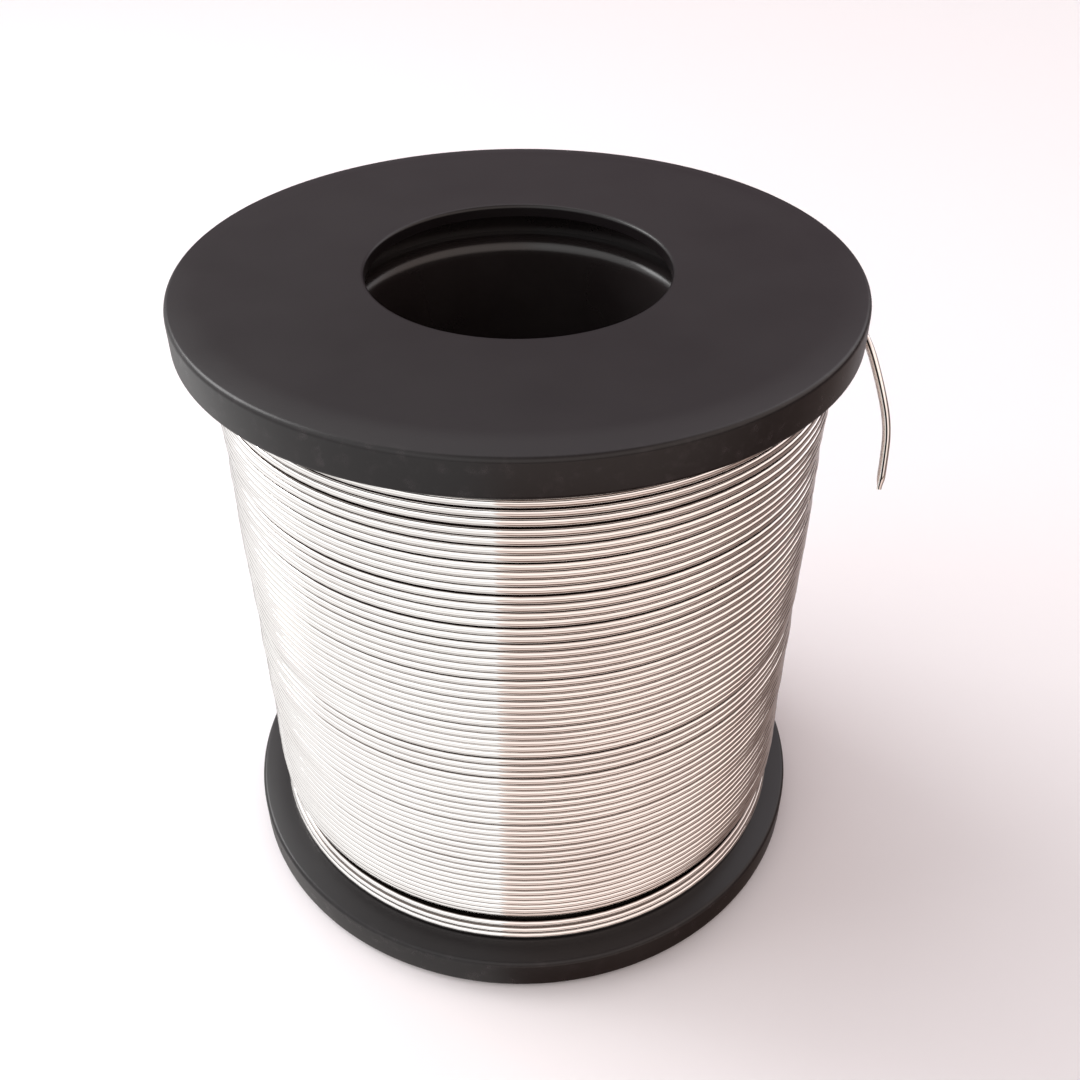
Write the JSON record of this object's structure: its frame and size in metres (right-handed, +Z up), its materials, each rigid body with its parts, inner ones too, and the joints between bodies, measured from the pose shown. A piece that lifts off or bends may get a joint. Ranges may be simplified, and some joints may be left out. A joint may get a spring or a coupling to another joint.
{
  "type": "solder wire spool",
  "caption": "Reel of flux-cored solder wire: round flanges on a hollow core barrel, wire wound between them, its loose end drooping from under the top flange.",
  "frame": {"origin": "centre of the bottom flange's outer face, which the reel stands on", "axes": "+Z up the reel's own axis, towards the flange that the free end comes out under; the free end droops on the +X side"},
  "size_m": [0.0674, 0.063, 0.066],
  "materials": {
    "flange_plastic": "satin moulded black",
    "barrel_plastic": "smooth moulded black",
    "solder": "bright drawn tin alloy wire",
    "flux": "solid amber rosin"
  },
  "bodies": {
    "root": {"top_flange": "flange_plastic", "bottom_flange": "flange_plastic", "core_barrel": "barrel_plastic", "solder_inner_layers": "solder", "solder_outer_layers": "solder", "solder_free_end": "solder", "solder_start_end": "solder", "free_end_flux_core": "flux", "start_end_flux_core": "flux"}
  },
  "joints": []
}
